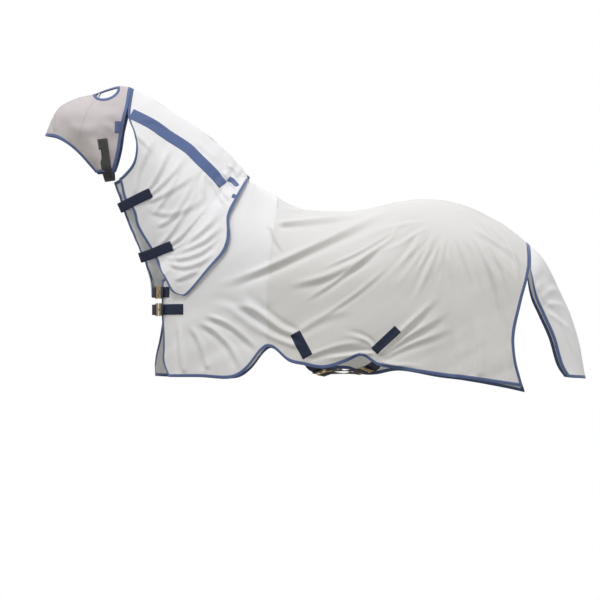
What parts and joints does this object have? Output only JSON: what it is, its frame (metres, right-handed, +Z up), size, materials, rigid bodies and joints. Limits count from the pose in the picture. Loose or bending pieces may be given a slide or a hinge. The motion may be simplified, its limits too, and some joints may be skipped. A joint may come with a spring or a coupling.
{
  "type": "horse fly sheet",
  "caption": "Light mesh horse rug with separate neck cover and fly mask, blue bound edges, chest straps, crossed belly straps and tail flap.",
  "frame": {"origin": "top of the withers on the horse's back, where the rug's neckline crosses the spine", "axes": "+X towards the tail, +Y towards the horse's off (right) side, +Z up"},
  "size_m": [2.5147, 0.656, 1.4283],
  "materials": {
    "cloth": "pale off-white fly mesh, slightly silky",
    "smooth": "smooth white shoulder cloth",
    "mesh": "lilac-grey see-through face mesh",
    "tape": "steel-blue binding tape, plain",
    "webbing": "dark navy woven webbing",
    "charcoal": "charcoal hook-and-loop tape",
    "brass": "cast brass, lightly polished"
  },
  "bodies": {
    "rug": {"front_belly_keeper": "brass", "front_belly_strap": "webbing", "lower_chest_keeper": "brass", "near_body_panel": "cloth", "near_front_belly_strap": "webbing", "near_front_patch": "webbing", "near_lower_chest_strap": "webbing", "near_rear_belly_strap": "webbing", "near_rear_patch": "webbing", "near_rug_binding": "tape", "near_shoulder_panel": "smooth", "near_upper_chest_strap": "webbing", "off_body_panel": "cloth", "off_front_patch": "webbing", "off_lower_chest_strap": "webbing", "off_rear_patch": "webbing", "off_rug_binding": "tape", "off_shoulder_panel": "smooth", "off_upper_chest_strap": "webbing", "rear_belly_keeper": "brass", "rear_belly_strap": "webbing", "upper_chest_keeper": "brass"},
    "neck_cover": {"near_neck_panel": "cloth", "off_neck_panel": "cloth", "near_neck_binding": "tape", "off_neck_binding": "tape", "near_neck_band": "tape", "off_neck_band": "tape", "upper_tab_pad": "webbing", "lower_tab_pad": "webbing"},
    "upper_neck_tab": {"upper_neck_tab": "webbing"},
    "lower_neck_tab": {"lower_neck_tab": "webbing"},
    "fly_mask": {"near_mask_panel": "mesh", "off_mask_panel": "mesh", "mask_binding": "tape", "near_ear_binding": "tape", "off_ear_binding": "tape", "mask_tag": "tape", "mask_strap_pad": "charcoal"},
    "mask_strap": {"mask_strap": "charcoal"},
    "tail_flap": {"tail_flap_panel": "cloth", "tail_flap_binding": "tape"},
    "upper_chest_hook": {"upper_chest_hook": "brass"},
    "lower_chest_hook": {"lower_chest_hook": "brass"},
    "front_belly_hook": {"front_belly_hook": "brass"},
    "rear_belly_hook": {"rear_belly_hook": "brass"},
    "front_belly_slider": {"front_belly_slider": "brass"},
    "rear_belly_slider": {"rear_belly_slider": "brass"}
  },
  "joints": [
    {"name": "neck_cover_draw", "type": "slide", "parent": "rug", "child": "neck_cover", "axis": [-0.8, 0, 0.6], "range_m": [0, 0.6]},
    {"name": "upper_tab_peel", "type": "hinge", "parent": "neck_cover", "child": "upper_neck_tab", "pos_m": [-0.521, 0.067, -0.076], "axis": [0.4311, 0, -0.9023], "range_deg": [0, 80]},
    {"name": "lower_tab_peel", "type": "hinge", "parent": "neck_cover", "child": "lower_neck_tab", "pos_m": [-0.414, 0.071, -0.31], "axis": [0.4983, 0, -0.867], "range_deg": [0, 80]},
    {"name": "mask_lift", "type": "hinge", "parent": "neck_cover", "child": "fly_mask", "pos_m": [-0.563, 0, 0.452], "axis": [0, 1, 0], "range_deg": [0, 30]},
    {"name": "mask_strap_peel", "type": "hinge", "parent": "fly_mask", "child": "mask_strap", "pos_m": [-0.668, 0.118, 0.066], "axis": [0.9578, 0, -0.2873], "range_deg": [0, 70]},
    {"name": "tail_flap_lift", "type": "hinge", "parent": "rug", "child": "tail_flap", "pos_m": [1.2848, 0, -0.28], "axis": [0, -1, 0], "range_deg": [0, 60]},
    {"name": "upper_chest_hook_turn", "type": "hinge", "parent": "rug", "child": "upper_chest_hook", "pos_m": [-0.41889, -0.0975, -0.504], "axis": [-0.8655, -0.5009, 0], "range_deg": [-3, 3]},
    {"name": "lower_chest_hook_turn", "type": "hinge", "parent": "rug", "child": "lower_chest_hook", "pos_m": [-0.41889, -0.0975, -0.584], "axis": [-0.8655, -0.5009, 0], "range_deg": [-3, 3]},
    {"name": "front_belly_hook_turn", "type": "hinge", "parent": "rug", "child": "front_belly_hook", "pos_m": [0.32278, -0.18111, -0.87026], "axis": [0.2063, -0.2705, -0.9404], "range_deg": [-3, 3]},
    {"name": "rear_belly_hook_turn", "type": "hinge", "parent": "rug", "child": "rear_belly_hook", "pos_m": [0.53828, -0.20461, -0.85687], "axis": [-0.241, -0.2503, -0.9377], "range_deg": [-3, 3]},
    {"name": "front_belly_slider_run", "type": "slide", "parent": "rug", "child": "front_belly_slider", "axis": [0.4607, 0.8868, 0.0353], "range_m": [-0.01, 0.01]},
    {"name": "rear_belly_slider_run", "type": "slide", "parent": "rug", "child": "rear_belly_slider", "axis": [-0.5134, 0.8569, 0.0468], "range_m": [-0.01, 0.01]}
  ]
}
